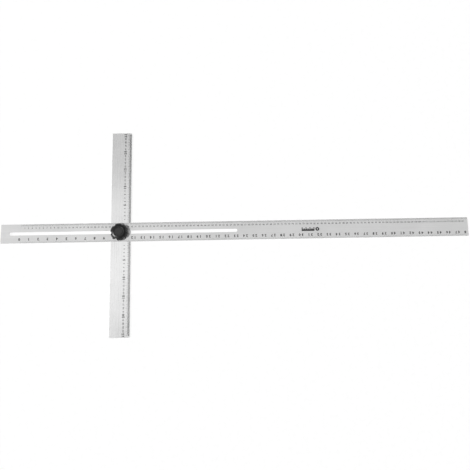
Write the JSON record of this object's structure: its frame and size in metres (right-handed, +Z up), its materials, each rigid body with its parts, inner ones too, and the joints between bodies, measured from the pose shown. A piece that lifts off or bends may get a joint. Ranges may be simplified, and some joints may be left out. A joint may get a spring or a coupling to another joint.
{
  "type": "adjustable t square",
  "caption": "Adjustable T square: slotted metal ruler over a crossbar head, clamped by a star knob so the head slides and swivels.",
  "frame": {"origin": "under the middle of the blade's length and on its centre line, at the underside of the head", "axes": "+X along the blade towards its long end, +Y along the head, +Z up on the knob's side"},
  "size_m": [1.278, 0.566, 0.0226],
  "materials": {
    "blade_aluminium": "satin anodised with lengthwise brushing",
    "head_aluminium": "satin anodised with lengthwise brushing",
    "zinc_steel": "bright zinc plated",
    "white_nylon": "natural nylon",
    "knob_plastic": "black moulded plastic, semi-gloss",
    "cap_plastic": "black moulded plastic, fine texture",
    "insert_brass": "turned",
    "scale_ink": "printed black ink"
  },
  "bodies": {
    "blade": {"blade": "blade_aluminium"},
    "guide": {"slot_guide": "white_nylon"},
    "head": {"head": "head_aluminium", "clamp_bolt": "zinc_steel"},
    "washer": {"clamp_washer": "zinc_steel"},
    "knob": {"knob_body": "knob_plastic", "knob_insert": "insert_brass", "knob_cap": "cap_plastic"}
  },
  "joints": [
    {"name": "head_slide", "type": "slide", "parent": "blade", "child": "guide", "axis": [1, 0, 0], "range_m": [-0.2875, 0.3105]},
    {"name": "head_swivel", "type": "hinge", "parent": "guide", "child": "head", "pos_m": [-0.3185, 0, 0], "axis": [0, 0, 1], "continuous": true},
    {"name": "knob_lift", "type": "slide", "parent": "head", "child": "washer", "axis": [0, 0, 1], "range_m": [0, 0.002]},
    {"name": "knob_turn", "type": "hinge", "parent": "washer", "child": "knob", "pos_m": [-0.3185, 0, 0], "axis": [0, 0, 1], "range_deg": [0, 720]}
  ],
  "couplings": [
    {"joint": "knob_lift", "follows": "knob_turn", "m_per_rad": 0.000159}
  ]
}
